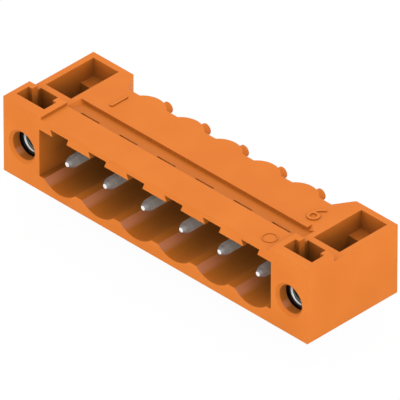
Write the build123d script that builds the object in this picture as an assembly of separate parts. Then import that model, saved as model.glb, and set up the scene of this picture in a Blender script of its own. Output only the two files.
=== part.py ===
from build123d import *
import math
import os

# Right-angle pin header for a circuit board, with a screw flange at each end.
# Row frame: origin at the centre of the board seat, +X along the row of contacts,
# -Y towards the mating plug, +Z up from the board. All sizes in millimetres.

# Row of contacts
POLES = 6
PITCH = 5.08
AXIS_HEIGHT = 3.8
FLANGE_PITCH = 5.08
FLANGE_END = 2.46

# Housing, front to back
FLANGE_DEPTH = 12.0
CAVITY_DEPTH = 8.2
BACK_WALL = 1.75
FRONT_BAND = 3.5

# Housing, heights
CEILING_RISE = 3.2
ROOF = 0.75
PLATEAU_RISE = 0.5
FLANGE_RISE = 0.75
FLANGE_BLOCK_WIDTH = 5.05

# Plug cavity with a scooped floor under each contact
CAVITY_SIDE = 2.72
SCOOP_RADIUS = 3.0
LAND_DROP = 2.15

# Coding grooves in the cavity's ceiling, open into the latch valley at their inner end
GROOVE_LENGTH = 4.22
GROOVE_WIDE = 2.4
GROOVE_NARROW = 1.88
GROOVE_DEPTH = 0.68
GROOVE_DEPTH_INNER = 0.42
GROOVE_WINDOW = 0.2

# Latch valley across the top, where the plug's hooks catch
VALLEY_SETBACK = 3.35
VALLEY_DEPTH = 2.35
VALLEY_FRONT_DROP = 0.05
VALLEY_BACK_DROP = 0.35
VALLEY_SIDE = 2.84
VALLEY_END_RAMP = 0.5
RELIEF_SETBACK = 1.0
RELIEF_REACH = 0.68

# Rear of the centre: barrel ribs between the solder tails, each with a stand-off peg
RIB_STAND_OUT = 0.85
RIB_CLEARANCE = 0.16
PEG_DIAMETER = 1.2
PEG_DROP = 1.49

# Rear of each flange: its inner side slants towards the back
FLANGE_FOOT = 6.70
FLANGE_HEEL = 5.44
HEEL_FILLET = 0.3

# Contacts: octagonal wire, pointed at the plug end, bent down through the board
WIRE = 1.2
WIRE_SIDES = 8
TIP_SETBACK = 1.0
TIP_LENGTH = 1.05
TIP_FLAT = 0.48
TIP_STAGES = 4
BEND_RADIUS = 1.05
TAIL_LENGTH = 3.2
TAIL_TAPER = 0.35
TAIL_FLAT = 0.9

# Captive square nuts, dropped into a slot behind each flange's front wall
NUT_WIDTH = 3.7
NUT_THICKNESS = 1.3
NUT_BORE = 2.06
NUT_CHAMFER = 0.25
NUT_CORNER = 0.2
NUT_SIDE_PLAY = 0.02
NUT_FRONT_PLAY = 0.33
FLANGE_FRONT_WALL = 1.16
SCREW_HOLE = 3.0
SCREW_LEAD_IN = 0.3
SHOULDER_GAP = 2.78
SCREW_CHANNEL_WIDTH = 3.38
SCREW_CHANNEL_DEPTH = 1.45

# Deep pocket in the rear of each flange, over the hole for the board screw
POCKET_WALL = 0.7
POCKET_WIDTH = 3.4
POCKET_PARTITION = 0.71
POCKET_LENGTH = 6.35
POCKET_LEDGE_LENGTH = 1.7
POCKET_LEDGE_DROP = 2.08
POCKET_FLOOR = 2.8
BOARD_SCREW_HOLE = 1.9
BOARD_SCREW_LEAD_IN = 0.25
BOARD_SCREW_SETBACK = 7.3

# Worked out from the sizes above
LAST_CONTACT = (POLES - 1) * PITCH / 2
FLANGE_SCREW = LAST_CONTACT + FLANGE_PITCH
HALF_LENGTH = FLANGE_SCREW + FLANGE_END
FRONT = -FLANGE_DEPTH / 2
BACK = FLANGE_DEPTH / 2
WALL_BACK = FRONT + CAVITY_DEPTH + BACK_WALL
BAND_BACK = FRONT + FRONT_BAND
CEILING = AXIS_HEIGHT + CEILING_RISE
LAND = AXIS_HEIGHT - LAND_DROP
DECK = CEILING + ROOF
PLATEAU = DECK + PLATEAU_RISE
FLANGE_TOP = DECK + FLANGE_RISE
CAVITY_HALF = LAST_CONTACT + CAVITY_SIDE
SLOT_WIDTH = NUT_WIDTH + 2 * NUT_SIDE_PLAY
SLOT_FLOOR = AXIS_HEIGHT - NUT_WIDTH / 2
NUT_FRONT = FRONT + FLANGE_FRONT_WALL + NUT_FRONT_PLAY
NUT_BACK = NUT_FRONT + NUT_THICKNESS
VALLEY_FRONT = FRONT + VALLEY_SETBACK
VALLEY_BACK = VALLEY_FRONT + VALLEY_DEPTH
VALLEY_END = LAST_CONTACT + VALLEY_SIDE
CHANNEL_BACK = NUT_BACK + SCREW_CHANNEL_DEPTH
POCKET_FRONT = CHANNEL_BACK + POCKET_PARTITION
POCKET_BACK = POCKET_FRONT + POCKET_LENGTH
POCKET_CENTRE = HALF_LENGTH - POCKET_WALL - POCKET_WIDTH / 2
BOARD_SCREW = FRONT + BOARD_SCREW_SETBACK

CONTACT_PLACES = [(number - (POLES - 1) / 2) * PITCH for number in range(POLES)]
RIB_PLACES = [(left + right) / 2 for left, right in zip(CONTACT_PLACES, CONTACT_PLACES[1:])]


def block(x_range, y_range, z_range):
    """A straight-sided block between two places on each axis."""
    low = (x_range[0], y_range[0], z_range[0])
    size = (x_range[1] - x_range[0], y_range[1] - y_range[0], z_range[1] - z_range[0])
    return Pos(*low) * Box(*size, align=(Align.MIN, Align.MIN, Align.MIN))


def on_front(y):
    """A drawing plane seen from the plug side: its x is +X and its y is +Z."""
    return Plane(origin=(0, y, 0), x_dir=(1, 0, 0), z_dir=(0, -1, 0))


def both_ends(solid):
    """A solid at the right-hand flange, and its mirror image at the left-hand one."""
    return [solid, mirror(solid, about=Plane.YZ)]


def centre_block():
    """The middle of the housing up to the deck, with a barrel rib between each two solder tails."""
    middle = LAST_CONTACT + FLANGE_PITCH
    body = block((-middle, middle), (FRONT, WALL_BACK), (0, DECK))
    half_chord = PITCH / 2 - WIRE / 2 - RIB_CLEARANCE
    for place in RIB_PLACES:
        left = (place - half_chord, WALL_BACK)
        right = (place + half_chord, WALL_BACK)
        crown = (place, WALL_BACK + RIB_STAND_OUT)
        barrel = make_face([ThreePointArc(left, crown, right), Line(right, left)])
        body += extrude(barrel, DECK, dir=(0, 0, 1))
        peg_face = on_front(WALL_BACK) * Pos(place, DECK - PEG_DROP)
        body += extrude(peg_face * Circle(PEG_DIAMETER / 2), -(BACK - WALL_BACK))
    return body


def flange_block():
    """The right-hand flange up to the deck, and its higher block at the front."""
    heel = HALF_LENGTH - FLANGE_HEEL
    foot = HALF_LENGTH - FLANGE_FOOT
    outline = make_face(Polyline(
        (HALF_LENGTH, FRONT), (HALF_LENGTH, BACK), (heel, BACK), (foot, WALL_BACK), (foot, FRONT),
        close=True,
    ))
    body = extrude(outline, DECK, dir=(0, 0, 1))
    heel_edge = body.edges().filter_by(Axis.Z).sort_by_distance((heel, BACK, DECK / 2))[0]
    body = fillet(heel_edge, HEEL_FILLET)
    block_inner = HALF_LENGTH - FLANGE_BLOCK_WIDTH
    return body + block((block_inner, HALF_LENGTH), (FRONT, BAND_BACK), (0, FLANGE_TOP))


def plug_cavity():
    """The socket for the plug: flat ceiling, straight sides, and a scoop under each contact."""
    opening = block((-CAVITY_HALF, CAVITY_HALF), (FRONT, FRONT + CAVITY_DEPTH), (LAND, CEILING))
    slab = block(
        (-CAVITY_HALF, CAVITY_HALF), (FRONT, FRONT + CAVITY_DEPTH),
        (AXIS_HEIGHT - SCOOP_RADIUS, AXIS_HEIGHT),
    )
    for place in CONTACT_PLACES:
        scoop = extrude(on_front(FRONT) * Pos(place, AXIS_HEIGHT) * Circle(SCOOP_RADIUS), -CAVITY_DEPTH)
        opening += scoop & slab
    return opening


def coding_groove(place):
    """A dovetail in the ceiling that gets shallower inwards, with a window at its inner end."""
    def section(y, depth):
        spread = (GROOVE_WIDE - GROOVE_NARROW) / 2 * depth / GROOVE_DEPTH
        narrow = GROOVE_NARROW / 2
        return on_front(y) * make_face(Polyline(
            (place - narrow, CEILING), (place + narrow, CEILING),
            (place + narrow + spread, CEILING + depth), (place - narrow - spread, CEILING + depth),
            close=True,
        ))
    inner_end = FRONT + GROOVE_LENGTH
    groove = loft([section(FRONT, GROOVE_DEPTH), section(inner_end, GROOVE_DEPTH_INNER)])
    window = block(
        (place - GROOVE_WIDE / 2, place + GROOVE_WIDE / 2),
        (inner_end - GROOVE_WINDOW, inner_end), (CEILING, DECK),
    )
    return groove + window


def latch_valley():
    """The trough behind the front band: a sloping floor up to a low catch wall, ramped at its ends."""
    profile = Plane.YZ * make_face(Polyline(
        (VALLEY_FRONT, PLATEAU), (VALLEY_FRONT, DECK - VALLEY_FRONT_DROP),
        (VALLEY_BACK, DECK - VALLEY_BACK_DROP), (VALLEY_BACK, PLATEAU),
        close=True,
    ))
    inner_end = VALLEY_END - VALLEY_END_RAMP
    length = on_front(VALLEY_FRONT) * make_face(Polyline(
        (-VALLEY_END, DECK), (-inner_end, DECK - VALLEY_BACK_DROP), (inner_end, DECK - VALLEY_BACK_DROP),
        (VALLEY_END, DECK), (VALLEY_END, PLATEAU), (-VALLEY_END, PLATEAU),
        close=True,
    ))
    return extrude(profile, VALLEY_END, both=True) & extrude(length, -VALLEY_DEPTH)


def latch_relief():
    """A three-sided hollow behind the valley's right-hand end, deepest where the catch wall stops."""
    inner = VALLEY_END - RELIEF_SETBACK
    rim = Pos(0, 0, DECK) * make_face(Polyline(
        (inner, VALLEY_BACK), (VALLEY_END, VALLEY_BACK), (inner, VALLEY_BACK + RELIEF_REACH), close=True,
    ))
    return loft([rim, Vertex(inner, VALLEY_BACK, DECK - VALLEY_BACK_DROP)])


def flange_cuts():
    """The holes of the right-hand flange: screw hole, nut slot, screw channel and rear pocket."""
    screw_face = on_front(FRONT) * Pos(FLANGE_SCREW, AXIS_HEIGHT)
    cut = extrude(screw_face * Circle(SCREW_HOLE / 2), -FLANGE_FRONT_WALL)
    mouth = screw_face * Circle(SCREW_HOLE / 2 + SCREW_LEAD_IN)
    throat = Pos(0, SCREW_LEAD_IN, 0) * screw_face * Circle(SCREW_HOLE / 2)
    cut += loft([mouth, throat])
    cut += block(
        (FLANGE_SCREW - SLOT_WIDTH / 2, FLANGE_SCREW + SLOT_WIDTH / 2),
        (FRONT + FLANGE_FRONT_WALL, NUT_BACK), (SLOT_FLOOR, FLANGE_TOP),
    )
    channel = ((SHOULDER_GAP, NUT_BACK, BAND_BACK), (SCREW_CHANNEL_WIDTH, BAND_BACK, CHANNEL_BACK))
    for width, front, back in channel:
        sides = (FLANGE_SCREW - width / 2, FLANGE_SCREW + width / 2)
        cut += block(sides, (front, back), (SLOT_FLOOR, FLANGE_TOP))
    pocket_sides = (POCKET_CENTRE - POCKET_WIDTH / 2, POCKET_CENTRE + POCKET_WIDTH / 2)
    cut += block(pocket_sides, (POCKET_FRONT, POCKET_BACK), (DECK - POCKET_LEDGE_DROP, DECK))
    cut += block(pocket_sides, (POCKET_FRONT, POCKET_BACK - POCKET_LEDGE_LENGTH), (POCKET_FLOOR, DECK))
    board_face = Pos(FLANGE_SCREW, BOARD_SCREW, 0)
    cut += extrude(board_face * Circle(BOARD_SCREW_HOLE / 2), POCKET_FLOOR)
    cut += loft([
        board_face * Circle(BOARD_SCREW_HOLE / 2 + BOARD_SCREW_LEAD_IN),
        Pos(0, 0, BOARD_SCREW_LEAD_IN) * board_face * Circle(BOARD_SCREW_HOLE / 2),
    ])
    return cut


def wire_section(across_flats):
    """The wire's eight-sided section, with a flat on each side."""
    return RegularPolygon(across_flats / 2, WIRE_SIDES, major_radius=False, rotation=180 / WIRE_SIDES)


def housing():
    """The one-piece moulding."""
    body = centre_block() + both_ends(flange_block())
    middle = LAST_CONTACT + FLANGE_PITCH
    body += block((-middle, middle), (FRONT, VALLEY_FRONT), (CEILING, PLATEAU))
    body -= plug_cavity()
    body -= latch_valley()
    body -= latch_relief()
    body -= [coding_groove(place) for place in CONTACT_PLACES]
    body -= both_ends(flange_cuts())
    body -= [
        extrude(on_front(FRONT + CAVITY_DEPTH) * Pos(place, AXIS_HEIGHT) * wire_section(WIRE), -BACK_WALL)
        for place in CONTACT_PLACES
    ]
    return body


def contact_point(place):
    """The plug end of a contact: the wire coined to a bullet shape in flat stages, with a small end face."""
    tip = FRONT + TIP_SETBACK
    flare = (WIRE - TIP_FLAT) / 2
    curve = (TIP_LENGTH**2 + flare**2) / (2 * flare)
    stages = []
    for stage in range(TIP_STAGES + 1):
        from_shoulder = TIP_LENGTH * (1 - stage / TIP_STAGES)
        drop = curve - math.sqrt(curve**2 - from_shoulder**2)
        face = on_front(tip + TIP_LENGTH - from_shoulder) * Pos(place, AXIS_HEIGHT)
        stages.append(face * wire_section(WIRE - 2 * drop))
    return loft(stages, ruled=True)


def contact(place):
    """One bent contact: a pointed plug end, a quarter bend behind the wall, and a solder tail."""
    shoulder = FRONT + TIP_SETBACK + TIP_LENGTH
    tail = WALL_BACK + BEND_RADIUS
    tail_shoulder = TAIL_TAPER - TAIL_LENGTH
    path = Line((place, shoulder, AXIS_HEIGHT), (place, WALL_BACK, AXIS_HEIGHT))
    path += ThreePointArc(
        (place, WALL_BACK, AXIS_HEIGHT),
        (place, WALL_BACK + BEND_RADIUS * math.sin(math.pi / 4),
         AXIS_HEIGHT - BEND_RADIUS * (1 - math.cos(math.pi / 4))),
        (place, tail, AXIS_HEIGHT - BEND_RADIUS),
    )
    path += Line((place, tail, AXIS_HEIGHT - BEND_RADIUS), (place, tail, tail_shoulder))
    wire = sweep(on_front(shoulder) * Pos(place, AXIS_HEIGHT) * wire_section(WIRE), path)
    foot = loft([
        Pos(place, tail, -TAIL_LENGTH) * wire_section(TAIL_FLAT),
        Pos(place, tail, tail_shoulder) * wire_section(WIRE),
    ])
    return wire + contact_point(place) + foot


def flange_nut():
    """The right-hand captive nut: square, rounded at its corners, chamfered bore."""
    face = on_front(NUT_FRONT) * Pos(FLANGE_SCREW, AXIS_HEIGHT)
    plate = extrude(face * RectangleRounded(NUT_WIDTH, NUT_WIDTH, NUT_CORNER), -NUT_THICKNESS)
    plate -= extrude(face * Circle(NUT_BORE / 2), -NUT_THICKNESS)
    rims = plate.edges().filter_by(GeomType.CIRCLE).filter_by(lambda edge: edge.radius > NUT_CORNER)
    return chamfer(rims, NUT_CHAMFER)


os.makedirs("parts", exist_ok=True)

export_step(housing(), "parts/housing.step")
for number, place in enumerate(CONTACT_PLACES, start=1):
    export_step(contact(place), f"parts/contact_pin_{number}.step")
for side, nut in zip(("right", "left"), both_ends(flange_nut())):
    export_step(nut, f"parts/flange_nut_{side}.step")
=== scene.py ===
import math

import bpy
import numpy as np
from mathutils import Matrix, Vector


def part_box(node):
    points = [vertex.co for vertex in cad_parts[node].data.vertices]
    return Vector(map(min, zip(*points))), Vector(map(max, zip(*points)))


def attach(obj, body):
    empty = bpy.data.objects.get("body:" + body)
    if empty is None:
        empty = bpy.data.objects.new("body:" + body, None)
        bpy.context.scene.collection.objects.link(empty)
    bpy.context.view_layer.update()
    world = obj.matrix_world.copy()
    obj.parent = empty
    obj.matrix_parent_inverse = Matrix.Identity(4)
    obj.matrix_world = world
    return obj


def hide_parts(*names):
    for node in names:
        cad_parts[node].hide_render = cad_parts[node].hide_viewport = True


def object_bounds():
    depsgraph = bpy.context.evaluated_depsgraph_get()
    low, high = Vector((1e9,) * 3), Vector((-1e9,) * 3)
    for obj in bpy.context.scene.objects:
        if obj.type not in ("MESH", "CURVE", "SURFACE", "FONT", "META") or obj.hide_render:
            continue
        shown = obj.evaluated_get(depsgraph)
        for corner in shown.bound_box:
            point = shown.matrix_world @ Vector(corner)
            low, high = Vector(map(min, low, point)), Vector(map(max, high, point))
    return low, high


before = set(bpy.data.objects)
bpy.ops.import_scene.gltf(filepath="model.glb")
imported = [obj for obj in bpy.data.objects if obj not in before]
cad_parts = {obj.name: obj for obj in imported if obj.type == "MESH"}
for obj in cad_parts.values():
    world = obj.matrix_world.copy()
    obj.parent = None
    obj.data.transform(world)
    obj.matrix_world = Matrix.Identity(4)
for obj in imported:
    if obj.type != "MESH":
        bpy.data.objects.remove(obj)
cad_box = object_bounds()

# Plug cavity housing
# The body is one injection moulding in orange glass-filled polyester, about 0.8 mm thick
# at its thinnest. Its tool was spark eroded, so the skin is evenly matt with a very fine
# grain. Its edges carry a painted highlight, and its hollows and corners painted shade.
MILLIMETRE = 0.001
UPWARDS = (0.0, 0.0, 1.0)

# The oranges: open skin, flow marks, a painted edge highlight, painted shade and a painted sheen; and
# the finish that they share
ORANGE_SKIN = (0.88, 0.232, 0.022, 1.0)
ORANGE_DEEP = (0.84, 0.212, 0.018, 1.0)
ORANGE_EDGE_HIGHLIGHT = (0.92, 0.300, 0.060, 1.0)
ORANGE_HOLLOW_SHADE = (0.335, 0.134, 0.024, 1.0)
ORANGE_CORNER_SHADE = (0.50, 0.124, 0.006, 1.0)
ORANGE_SHEEN = (0.86, 0.30, 0.13, 1.0)
ORANGE_ROUGHNESS = 0.60
ORANGE_IOR = 1.45
ORANGE_GLOSS = 0.28

# Fine grain and slow flow marks; the range is the noise between which the orange turns
GRAIN_SIZE = 0.11 * MILLIMETRE
GRAIN_DEPTH = 0.004 * MILLIMETRE
GRAIN_STRENGTH = 0.35
GRAIN_DETAIL = 3.0
FLOW_SIZE = 5.0 * MILLIMETRE
FLOW_DETAIL = 1.5
FLOW_RANGE = (0.35, 0.65)
NOISE_ROUGHNESS = 0.55

# Rounded edges, whose mask also lays the painted edge highlight; the range is the cosine between the
# rounded normal and the true one
EDGE_ROUNDING = 0.05 * MILLIMETRE
EDGE_SAMPLES = 6
EDGE_RANGE = (0.995, 0.80)

# Walled-in places, which get painted shade; open and shut are shares of the sky that a place sees
# within the reach, and the outside is where a hollow's shelter is still low
SHELTER_SAMPLES = 8
HOLLOW_REACH = 12.0 * MILLIMETRE
HOLLOW_OPEN = 0.6
HOLLOW_SHUT = 0.0
OUTSIDE_RANGE = (0.33, 0.17)
CORNER_REACH = 1.8 * MILLIMETRE
CORNER_OPEN = 0.99
CORNER_SHUT = 0.40

# The directions that two slopes face, for painted valley shade and a painted scoop sheen; a mask is 0
# up to the narrow cosine, 1 from the full one
VALLEY_SLOPE = (0.0, 0.127, 0.992)
VALLEY_NARROW = 0.993
VALLEY_FULL = 0.998
VALLEY_SHADE = 0.36
SHEEN_SLOPE = (0.64, 0.0, 0.77)
SHEEN_NARROW = 0.955
SHEEN_FULL = 0.995
SHEEN_HOLLOW_RANGE = (0.79, 0.46)
SHEEN_TOP = 5.6 * MILLIMETRE
SHEEN_FADE = 0.2 * MILLIMETRE


def feed(tree, socket, given):
    """Give a socket what it takes: another node's output, or a plain value."""
    if isinstance(given, bpy.types.NodeSocket):
        tree.links.new(given, socket)
    else:
        socket.default_value = given


def ramp(tree, value, value_range, result_range=(0.0, 1.0)):
    """Straight ramp: the result goes from its first limit to its second as the value does."""
    node = tree.nodes.new("ShaderNodeMapRange")
    feed(tree, node.inputs["Value"], value)
    labels = ("From Min", "From Max", "To Min", "To Max")
    for label, limit in zip(labels, (*value_range, *result_range)):
        feed(tree, node.inputs[label], limit)
    return node.outputs["Result"]


def combined(tree, operation, first, second):
    """Two values put together by one operation of arithmetic; returns the result's socket."""
    node = tree.nodes.new("ShaderNodeMath")
    node.operation = operation
    feed(tree, node.inputs[0], first)
    feed(tree, node.inputs[1], second)
    return node.outputs["Value"]


def agreement(tree, first, second):
    """Dot product of two directions: 1 where they are the same, 0 where they are square."""
    node = tree.nodes.new("ShaderNodeVectorMath")
    node.operation = "DOT_PRODUCT"
    feed(tree, node.inputs[0], first)
    feed(tree, node.inputs[1], second)
    return node.outputs["Value"]


def new_group(name, inputs, outputs):
    """An empty shader group with float or vector sockets, given as (kind, name, value)."""
    group = bpy.data.node_groups.new(name, "ShaderNodeTree")
    for kind, label, value in inputs:
        socket = group.interface.new_socket(name=label, in_out="INPUT", socket_type=kind)
        socket.default_value = value
    for kind, label in outputs:
        group.interface.new_socket(name=label, in_out="OUTPUT", socket_type=kind)
    return group, group.nodes.new("NodeGroupInput"), group.nodes.new("NodeGroupOutput")


def build_spark_grain():
    """Spark-eroded tool skin: fine noise over coarser noise, both on object coordinates."""
    group, source, sink = new_group(
        "spark grain",
        [("NodeSocketFloat", "Grain size", GRAIN_SIZE), ("NodeSocketFloat", "Flow size", FLOW_SIZE)],
        [("NodeSocketFloat", "Height"), ("NodeSocketFloat", "Flow")],
    )
    place = group.nodes.new("ShaderNodeTexCoord")
    layers = (("Grain size", "Height", GRAIN_DETAIL), ("Flow size", "Flow", FLOW_DETAIL))
    for size_name, result_name, detail in layers:
        noise = group.nodes.new("ShaderNodeTexNoise")
        noise.inputs["Detail"].default_value = detail
        noise.inputs["Roughness"].default_value = NOISE_ROUGHNESS
        feed(group, noise.inputs["Vector"], place.outputs["Object"])
        feed(group, noise.inputs["Scale"], combined(group, "DIVIDE", 1.0, source.outputs[size_name]))
        feed(group, sink.inputs[result_name], noise.outputs["Fac"])
    return group


def build_soft_edge():
    """Small moulded radius: the rounded normal, and how far it leans from the true one."""
    group, source, sink = new_group(
        "soft edge",
        [("NodeSocketFloat", "Radius", EDGE_ROUNDING)],
        [("NodeSocketVector", "Normal"), ("NodeSocketFloat", "Edge")],
    )
    bevel = group.nodes.new("ShaderNodeBevel")
    bevel.samples = EDGE_SAMPLES
    feed(group, bevel.inputs["Radius"], source.outputs["Radius"])
    surface = group.nodes.new("ShaderNodeNewGeometry")
    lean = agreement(group, bevel.outputs["Normal"], surface.outputs["True Normal"])
    feed(group, sink.inputs["Normal"], bevel.outputs["Normal"])
    feed(group, sink.inputs["Edge"], ramp(group, lean, EDGE_RANGE))
    return group


def build_shelter():
    """How far a place is walled in within a reach: 0 at the open limit, 1 at the shut one."""
    group, source, sink = new_group(
        "shelter",
        [("NodeSocketFloat", "Reach", HOLLOW_REACH), ("NodeSocketFloat", "Open", HOLLOW_OPEN),
         ("NodeSocketFloat", "Shut", HOLLOW_SHUT)],
        [("NodeSocketFloat", "Shelter")],
    )
    openness = group.nodes.new("ShaderNodeAmbientOcclusion")
    openness.samples = SHELTER_SAMPLES
    feed(group, openness.inputs["Distance"], source.outputs["Reach"])
    limits = (source.outputs["Open"], source.outputs["Shut"])
    feed(group, sink.inputs["Shelter"], ramp(group, openness.outputs["AO"], limits))
    return group


def build_leaning():
    """How nearly the surface faces one way: 0 up to the narrow limit, 1 from the full one."""
    group, source, sink = new_group(
        "leaning",
        [("NodeSocketVector", "Towards", UPWARDS), ("NodeSocketFloat", "Narrow", VALLEY_NARROW),
         ("NodeSocketFloat", "Full", VALLEY_FULL)],
        [("NodeSocketFloat", "Match")],
    )
    surface = group.nodes.new("ShaderNodeTexCoord")
    likeness = agreement(group, surface.outputs["Normal"], source.outputs["Towards"])
    limits = (source.outputs["Narrow"], source.outputs["Full"])
    feed(group, sink.inputs["Match"], ramp(group, likeness, limits))
    return group


def place_group(tree, group, **values):
    """A copy of a shader group in a material, with this material's own values; returns its outputs."""
    node = tree.nodes.new("ShaderNodeGroup")
    node.node_tree = group
    for label, value in values.items():
        node.inputs[label.replace("_", " ")].default_value = value
    return node.outputs


def mixed_colour(tree, amount, first, second):
    """Two colours mixed by a mask, from the first at 0 to the second at 1."""
    mix = tree.nodes.new("ShaderNodeMix")
    mix.data_type = "RGBA"
    feed(tree, mix.inputs["Factor"], amount)
    feed(tree, mix.inputs["A"], first)
    feed(tree, mix.inputs["B"], second)
    return mix.outputs["Result"]


def bare_principled(name):
    """A material with only a Principled BSDF; returns the material, its nodes' tree and the shader."""
    material = bpy.data.materials.new(name)
    material.use_nodes = True
    return material, material.node_tree, material.node_tree.nodes["Principled BSDF"]


def give_relief(tree, shader, height, strength, depth, normal=None):
    """Fine relief on the shader's normal, on top of the rounded edges' normal where one is given."""
    bump = tree.nodes.new("ShaderNodeBump")
    bump.inputs["Strength"].default_value = strength
    bump.inputs["Distance"].default_value = depth
    feed(tree, bump.inputs["Height"], height)
    if normal is not None:
        feed(tree, bump.inputs["Normal"], normal)
    feed(tree, shader.inputs["Normal"], bump.outputs["Normal"])


def give_orange_finish(shader):
    """The evenly matt finish that every moulded orange surface has."""
    shader.inputs["Roughness"].default_value = ORANGE_ROUGHNESS
    shader.inputs["IOR"].default_value = ORANGE_IOR
    shader.inputs["Specular IOR Level"].default_value = ORANGE_GLOSS


def moulded_orange():
    """Matt orange polyester, mixed from six oranges by masks that are laid over one another.

    Slow flow marks go from deep to skin, and the edges carry a painted highlight. Painted shade
    deepens the orange in the inner corners of the outside, by a share on the valley's sloping
    floor, and in the hollows. The scoops' left slopes carry a painted pale sheen below their top,
    which fades in the depth of the cavity.
    """
    material, tree, shader = bare_principled("moulded orange polyester")
    grain = place_group(tree, spark_grain)
    edge = place_group(tree, soft_edge)
    skin = mixed_colour(tree, ramp(tree, grain["Flow"], FLOW_RANGE), ORANGE_DEEP, ORANGE_SKIN)
    # Painted highlight: the edges are mixed towards a lighter orange
    skin = mixed_colour(tree, edge["Edge"], skin, ORANGE_EDGE_HIGHLIGHT)

    hollow = place_group(tree, shelter, Reach=HOLLOW_REACH, Open=HOLLOW_OPEN, Shut=HOLLOW_SHUT)
    corner = place_group(tree, shelter, Reach=CORNER_REACH, Open=CORNER_OPEN, Shut=CORNER_SHUT)
    outside = ramp(tree, hollow["Shelter"], OUTSIDE_RANGE)
    outer_corner_shade = combined(tree, "MULTIPLY", corner["Shelter"], outside)
    # Painted shade in the inner corners of the outside
    skin = mixed_colour(tree, outer_corner_shade, skin, ORANGE_CORNER_SHADE)
    valley = place_group(tree, leaning, Towards=VALLEY_SLOPE, Narrow=VALLEY_NARROW, Full=VALLEY_FULL)
    valley_floor_shade = combined(tree, "MULTIPLY", valley["Match"], VALLEY_SHADE)
    # Painted shade on the valley's sloping floor, picked by the way it faces
    skin = mixed_colour(tree, valley_floor_shade, skin, ORANGE_CORNER_SHADE)
    # Painted shade in the hollows, deeper the more a place is walled in
    skin = mixed_colour(tree, hollow["Shelter"], skin, ORANGE_HOLLOW_SHADE)

    # Painted sheen: a paler orange on the scoops' left slopes, below their top, fading with depth
    slope = place_group(tree, leaning, Towards=SHEEN_SLOPE, Narrow=SHEEN_NARROW, Full=SHEEN_FULL)
    place = tree.nodes.new("ShaderNodeTexCoord")
    axes = tree.nodes.new("ShaderNodeSeparateXYZ")
    feed(tree, axes.inputs["Vector"], place.outputs["Object"])
    below_top = ramp(tree, axes.outputs["Z"], (SHEEN_TOP, SHEEN_TOP - SHEEN_FADE))
    sheen = combined(tree, "MULTIPLY", slope["Match"], below_top)
    sheen = combined(tree, "MULTIPLY", sheen, ramp(tree, hollow["Shelter"], SHEEN_HOLLOW_RANGE))
    skin = mixed_colour(tree, sheen, skin, ORANGE_SHEEN)

    feed(tree, shader.inputs["Base Color"], skin)
    give_relief(tree, shader, grain["Height"], GRAIN_STRENGTH, GRAIN_DEPTH, edge["Normal"])
    give_orange_finish(shader)
    return material


def dress(node, material):
    """Give a carried-over solid its finish."""
    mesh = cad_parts[node].data
    mesh.materials.clear()
    mesh.materials.append(material)


spark_grain = build_spark_grain()
soft_edge = build_soft_edge()
shelter = build_shelter()
leaning = build_leaning()
dress("housing", moulded_orange())


# Raised place numbers and ejector ring
# The moulding tool leaves the first and last pole's numbers standing on the rear deck, and a
# ring from an ejector pin on the front band. All are low reliefs of the same plastic, with
# painted shade on their steep sides.
HOUSING_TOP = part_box("housing")[1][2]
DECK_LEVEL = HOUSING_TOP - 0.75 * MILLIMETRE
BAND_LEVEL = HOUSING_TOP - 0.25 * MILLIMETRE
NUMBER_HEIGHT = 2.3 * MILLIMETRE
NUMBER_RELIEF = 0.10 * MILLIMETRE
TYPE_SIZE = 1.38 * NUMBER_HEIGHT
TYPE_STEPS = 6
FIRST_NUMBER_AT = (-13.4 * MILLIMETRE, 1.9 * MILLIMETRE)
LAST_NUMBER_AT = (12.9 * MILLIMETRE, 1.9 * MILLIMETRE)
RING_AT = (13.82 * MILLIMETRE, -4.53 * MILLIMETRE)
RING_RADIUS = 0.72 * MILLIMETRE
RING_STEPS = 64
RING_BEAD = 0.07 * MILLIMETRE
BEAD_STEPS = 12
RELIEF_SIDE_SHADE = (0.36, 0.085, 0.010, 1.0)
RELIEF_SIDE_LIMIT = 0.55
RELIEF_TOP_LIMIT = 0.95


def relief_orange():
    """The housing's orange, with painted shade on the steep sides of a low relief."""
    material, tree, shader = bare_principled("moulded orange relief")
    grain = place_group(tree, spark_grain)
    top = place_group(tree, leaning, Towards=UPWARDS, Narrow=RELIEF_SIDE_LIMIT, Full=RELIEF_TOP_LIMIT)
    skin = mixed_colour(tree, grain["Flow"], ORANGE_DEEP, ORANGE_SKIN)
    # Painted shade: the steep sides take a darker orange
    feed(tree, shader.inputs["Base Color"], mixed_colour(tree, top["Match"], RELIEF_SIDE_SHADE, skin))
    give_relief(tree, shader, grain["Height"], GRAIN_STRENGTH, GRAIN_DEPTH)
    give_orange_finish(shader)
    return material


def add_piece(name, mesh, material):
    """Put a finished mesh into the scene at the origin, riding on the one body."""
    mesh.materials.clear()
    mesh.materials.append(material)
    piece = bpy.data.objects.new(name, mesh)
    bpy.context.scene.collection.objects.link(piece)
    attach(piece, "root")
    return piece


def raised_number(name, digit, place):
    """A digit of the built-in type, drawn out by its relief and stood on the rear deck."""
    drawing = bpy.data.curves.new(name, "FONT")
    drawing.body = digit
    drawing.size = TYPE_SIZE
    drawing.extrude = NUMBER_RELIEF / 2
    drawing.resolution_u = TYPE_STEPS
    sketch = bpy.data.objects.new(name + "_sketch", drawing)
    mesh = bpy.data.meshes.new_from_object(sketch)
    bpy.data.objects.remove(sketch)
    mesh.name = name
    level = DECK_LEVEL + NUMBER_RELIEF / 2
    mesh.transform(Matrix.Translation((place[0], place[1] - NUMBER_HEIGHT / 2, level)))
    return mesh


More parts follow.
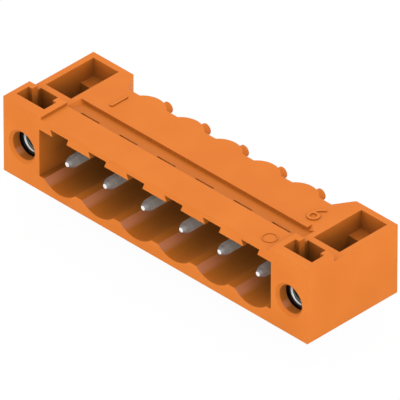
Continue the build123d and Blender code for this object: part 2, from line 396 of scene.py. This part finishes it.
def grid_mesh(name, points, **point_values):
    """A mesh from a grid of points, closed both ways, with named values kept for its points."""
    rows, columns = points.shape[:2]
    number = np.arange(rows * columns).reshape(rows, columns)
    below = np.roll(number, -1, 0)
    beside = np.roll(number, -1, 1)
    both = np.roll(beside, -1, 0)
    faces = np.stack([number, beside, both, below], -1).reshape(-1, 4)
    mesh = bpy.data.meshes.new(name)
    mesh.from_pydata(points.reshape(-1, 3), [], faces)
    for label, values in point_values.items():
        layer = mesh.attributes.new(label, "FLOAT", "POINT")
        layer.data.foreach_set("value", values.reshape(-1).astype(np.float32))
    mesh.validate()
    return mesh


def ejector_ring():
    """A ring of round section: centre + (R + b cos v)(cos u, sin u), height b sin v."""
    u = np.linspace(0, 2 * np.pi, RING_STEPS, endpoint=False)[None, :]
    v = np.linspace(0, 2 * np.pi, BEAD_STEPS, endpoint=False)[:, None]
    reach = RING_RADIUS + RING_BEAD * np.cos(v)
    x = RING_AT[0] + reach * np.cos(u)
    y = RING_AT[1] + reach * np.sin(u)
    z = BAND_LEVEL + RING_BEAD * np.sin(v)
    return grid_mesh("ejector_ring", np.stack(np.broadcast_arrays(x, y, z), -1))


relief = relief_orange()
add_piece("number_first", raised_number("number_first", "1", FIRST_NUMBER_AT), relief)
add_piece("number_last", raised_number("number_last", "6", LAST_NUMBER_AT), relief)
add_piece("ejector_ring", ejector_ring(), relief)


# Contacts
# Six lengths of 1.2 mm octagonal copper-alloy wire, plated with matt tin, coined to a point
# at the plug end, pressed through the rear wall and bent down to be soldered.
TIN = (0.81, 0.89, 0.88, 1.0)
TIN_DULL = (0.66, 0.74, 0.73, 1.0)
TIN_TAPER_SHADE = (0.37, 0.36, 0.36, 1.0)
TIN_END_HIGHLIGHT = (1.0, 0.99, 0.97, 1.0)
TIN_METALLIC = 0.5
TIN_ROUGHNESS = 0.36
TIN_GRAIN = 0.06 * MILLIMETRE
TIN_PATCH = 0.6 * MILLIMETRE
TIN_GRAIN_STRENGTH = 0.3
TIN_GRAIN_DEPTH = 0.002 * MILLIMETRE
WIRE_EDGE = 0.04 * MILLIMETRE
PLUG_SIDE = (0.0, -1.0, 0.0)
TAPER_NARROW = 0.08
TAPER_FULL = 0.45
END_NARROW = 0.95
END_FULL = 0.99


def tin_plate():
    """Satin tin with a fine grain and a dull patchwork, painted shade on the taper, a painted
    highlight on the end.
    """
    material, tree, shader = bare_principled("matt tin plate")
    grain = place_group(tree, spark_grain, Grain_size=TIN_GRAIN, Flow_size=TIN_PATCH)
    edge = place_group(tree, soft_edge, Radius=WIRE_EDGE)
    taper = place_group(tree, leaning, Towards=PLUG_SIDE, Narrow=TAPER_NARROW, Full=TAPER_FULL)
    end_face = place_group(tree, leaning, Towards=PLUG_SIDE, Narrow=END_NARROW, Full=END_FULL)
    plate = mixed_colour(tree, grain["Flow"], TIN_DULL, TIN)
    # Painted shade on the taper, which faces the plug side
    plate = mixed_colour(tree, taper["Match"], plate, TIN_TAPER_SHADE)
    # Painted highlight: the end face is painted near white
    plate = mixed_colour(tree, end_face["Match"], plate, TIN_END_HIGHLIGHT)
    feed(tree, shader.inputs["Base Color"], plate)
    give_relief(tree, shader, grain["Height"], TIN_GRAIN_STRENGTH, TIN_GRAIN_DEPTH, edge["Normal"])
    shader.inputs["Metallic"].default_value = TIN_METALLIC
    shader.inputs["Roughness"].default_value = TIN_ROUGHNESS
    return material


tin = tin_plate()
for contact_node in sorted(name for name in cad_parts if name.startswith("contact_pin_")):
    dress(contact_node, tin)


# Flange nuts
# Two square M2.5 nuts are dropped into the flanges' slots. They are punched from steel and
# plated black, and the countersink and the thread are cut afterwards, so these are bright; the
# thread carries painted shade.
NUT_CORNER = 0.20 * MILLIMETRE
NUT_BREAK = 0.06 * MILLIMETRE
NUT_MOUTH = 1.22 * MILLIMETRE
THREAD_PITCH = 0.45 * MILLIMETRE
THREAD_CREST = 1.03 * MILLIMETRE
THREAD_DEPTH = 0.22 * MILLIMETRE
THREAD_FLAT = 0.1
THREAD_START = 0.05 * MILLIMETRE
THREAD_RUN_IN = 0.20 * MILLIMETRE
BORE_ROWS = 72
TURN_COLUMNS = 160
BLACK_PLATE = (0.006, 0.006, 0.007, 1.0)
CUT_STEEL = (0.62, 0.66, 0.67, 1.0)
THREAD_SHADE = (0.17, 0.19, 0.165, 1.0)
NUT_ROUGHNESS_RANGE = (0.25, 0.45)
NUT_GRAIN = 0.05 * MILLIMETRE
NUT_PATCH = 0.5 * MILLIMETRE
NUT_GRAIN_STRENGTH = 0.2
NUT_GRAIN_DEPTH = 0.002 * MILLIMETRE
NUT_EDGE = 0.03 * MILLIMETRE


def point_value(tree, label):
    """The value that a mesh keeps for its points under a name."""
    node = tree.nodes.new("ShaderNodeAttribute")
    node.attribute_name = label
    return node.outputs["Fac"]


def blackened_nut():
    """Black plating on the pressed faces, bright cut metal in the countersink, painted shade in the
    thread.
    """
    material, tree, shader = bare_principled("black plated nut steel")
    grain = place_group(tree, spark_grain, Grain_size=NUT_GRAIN, Flow_size=NUT_PATCH)
    edge = place_group(tree, soft_edge, Radius=NUT_EDGE)
    colour = mixed_colour(tree, point_value(tree, "cut"), BLACK_PLATE, CUT_STEEL)
    # Painted shade: the thread in the bore is painted dark
    colour = mixed_colour(tree, point_value(tree, "thread"), colour, THREAD_SHADE)
    feed(tree, shader.inputs["Base Color"], colour)
    feed(tree, shader.inputs["Roughness"], ramp(tree, grain["Flow"], (0.0, 1.0), NUT_ROUGHNESS_RANGE))
    give_relief(tree, shader, grain["Height"], NUT_GRAIN_STRENGTH, NUT_GRAIN_DEPTH, edge["Normal"])
    shader.inputs["Metallic"].default_value = 1.0
    return material


def threaded_nut(node):
    """A closed skin of rings about the screw's axis.

    Outside, a ring at angle u reaches a square of half width a with corners of radius r. Inside,
    the bore's radius is the largest of the countersinks, mouth minus the distance from either
    face, and of the thread, crest + depth * run-in * tooth(y / pitch - u / 2 pi). The tooth is a
    triangle with its top and foot cut flat, and the run-in lets it grow from nothing at the faces.
    """
    low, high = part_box(node)
    centre_x = (low[0] + high[0]) / 2
    centre_z = (low[2] + high[2]) / 2
    half = (high[0] - low[0]) / 2
    u = np.linspace(0, 2 * np.pi, TURN_COLUMNS, endpoint=False)[None, :]
    y = np.linspace(low[1], high[1], BORE_ROWS)[:, None]

    along = np.maximum(abs(np.cos(u)), abs(np.sin(u)))
    across = np.minimum(abs(np.cos(u)), abs(np.sin(u)))
    flat = half - NUT_CORNER
    towards_corner = flat * (along + across)
    corner_reach = np.sqrt(np.maximum(towards_corner**2 - 2 * flat**2 + NUT_CORNER**2, 0))
    outside = np.where(half * across / along <= flat, half / along, towards_corner + corner_reach)
    skin = ((outside - NUT_BREAK, high[1]), (outside, high[1] - NUT_BREAK),
            (outside, low[1] + NUT_BREAK), (outside - NUT_BREAK, low[1]))

    triangle = 1 - abs(2 * ((y / THREAD_PITCH - u / (2 * np.pi)) % 1.0) - 1)
    tooth = np.clip((triangle - THREAD_FLAT) / (1 - 2 * THREAD_FLAT), 0, 1)
    inward = np.minimum(y - low[1], high[1] - y)
    run_in = np.clip((inward - THREAD_START) / THREAD_RUN_IN, 0, 1)
    thread = THREAD_CREST + THREAD_DEPTH * run_in * tooth
    countersink = NUT_MOUTH - inward
    bore = np.maximum(thread, countersink)

    radius = np.concatenate([bore] + [ring for ring, _ in skin])
    depth = np.concatenate([0 * bore + y] + [0 * ring + at for ring, at in skin])
    points = np.stack([centre_x + radius * np.cos(u), depth, centre_z + radius * np.sin(u)], -1)
    plated = np.zeros((len(skin), TURN_COLUMNS))
    in_thread = np.concatenate([(thread >= countersink).astype(float), plated])
    cut = np.concatenate([np.ones_like(bore), plated])
    return grid_mesh(node + "_threaded", points, cut=cut, thread=in_thread)


nut_steel = blackened_nut()
for nut_node in sorted(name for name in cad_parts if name.startswith("flange_nut_")):
    nut = add_piece(nut_node + "_threaded", threaded_nut(nut_node), nut_steel)
    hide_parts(nut_node)


# Floor
# A plain white table under the solder tails; what the camera sees of it is nearly even white,
# so that the header stands out, and it keeps only a faint shadow.
FLOOR_HALF = 0.4
FLOOR_WHITE = (0.95, 0.95, 0.95, 1.0)
GLOW_WHITE = (1.0, 1.0, 1.0, 1.0)
GLOW_STRENGTH = 1.012
GLOW_SHARE = 0.96


def pale_floor():
    """White matt floor that the camera and the metal's reflections see mostly as even white."""
    material = bpy.data.materials.new("pale table")
    material.use_nodes = True
    tree = material.node_tree
    tree.nodes.clear()
    out = tree.nodes.new("ShaderNodeOutputMaterial")
    matt = tree.nodes.new("ShaderNodeBsdfDiffuse")
    matt.inputs["Color"].default_value = FLOOR_WHITE
    glow = tree.nodes.new("ShaderNodeEmission")
    glow.inputs["Color"].default_value = GLOW_WHITE
    glow.inputs["Strength"].default_value = GLOW_STRENGTH
    sight = tree.nodes.new("ShaderNodeLightPath")
    seen = combined(tree, "MAXIMUM", sight.outputs["Is Camera Ray"], sight.outputs["Is Glossy Ray"])
    seen = combined(tree, "MAXIMUM", seen, sight.outputs["Is Transmission Ray"])
    mix = tree.nodes.new("ShaderNodeMixShader")
    feed(tree, mix.inputs["Fac"], combined(tree, "MULTIPLY", seen, GLOW_SHARE))
    feed(tree, mix.inputs[1], matt.outputs["BSDF"])
    feed(tree, mix.inputs[2], glow.outputs["Emission"])
    feed(tree, out.inputs["Surface"], mix.outputs["Shader"])
    return material


floor_mesh = bpy.data.meshes.new("table")
floor_level = cad_box[0][2]
floor_mesh.from_pydata(
    [(x * FLOOR_HALF, y * FLOOR_HALF, floor_level) for x, y in ((-1, -1), (1, -1), (1, 1), (-1, 1))],
    [], [(0, 1, 2, 3)],
)
floor_mesh.materials.append(pale_floor())
table = bpy.data.objects.new("table", floor_mesh)
bpy.context.scene.collection.objects.link(table)


# Light and camera
# Even white daylight from all round, as in a light tent, and a long lens so far away that
# parallel edges stay nearly parallel, as in a catalogue picture.
TENT_WHITE = (1.0, 1.0, 1.0, 1.0)
SIDE_LIGHT = 1.25
TOP_LIGHT = 0.835
LIGHT_BOUNCES = 1
AZIMUTH = math.radians(45.0)
ELEVATION = math.radians(34.88)
AIM = Vector((0.029, 0.029, 3.527)) * MILLIMETRE
LENS = 1600.0
SENSOR = 36.0
VIEW_WIDTH = 37.68 * MILLIMETRE
NEAREST_SEEN = 0.01
FARTHEST_SEEN = 10.0

world = bpy.data.worlds.new("light tent")
world.use_nodes = True
bpy.context.scene.world = world
tent = world.node_tree.nodes["Background"]
tent.inputs["Color"].default_value = TENT_WHITE
direction = world.node_tree.nodes.new("ShaderNodeTexCoord")
direction_axes = world.node_tree.nodes.new("ShaderNodeSeparateXYZ")
feed(world.node_tree, direction_axes.inputs["Vector"], direction.outputs["Generated"])
tent_strength = ramp(world.node_tree, direction_axes.outputs["Z"], (0.0, 1.0), (SIDE_LIGHT, TOP_LIGHT))
feed(world.node_tree, tent.inputs["Strength"], tent_strength)

lens = bpy.data.cameras.new("long lens")
lens.sensor_width = SENSOR
lens.lens = LENS
lens.clip_start = NEAREST_SEEN
lens.clip_end = FARTHEST_SEEN
camera = bpy.data.objects.new("camera", lens)
towards_camera = Vector((
    math.sin(AZIMUTH) * math.cos(ELEVATION),
    -math.cos(AZIMUTH) * math.cos(ELEVATION),
    math.sin(ELEVATION),
))
camera.location = AIM + towards_camera * (VIEW_WIDTH * LENS / SENSOR)
camera.rotation_euler = towards_camera.to_track_quat("Z", "Y").to_euler()
bpy.context.scene.collection.objects.link(camera)
bpy.context.scene.camera = camera
bpy.context.scene.view_settings.view_transform = "Standard"
bpy.context.scene.cycles.diffuse_bounces = LIGHT_BOUNCES
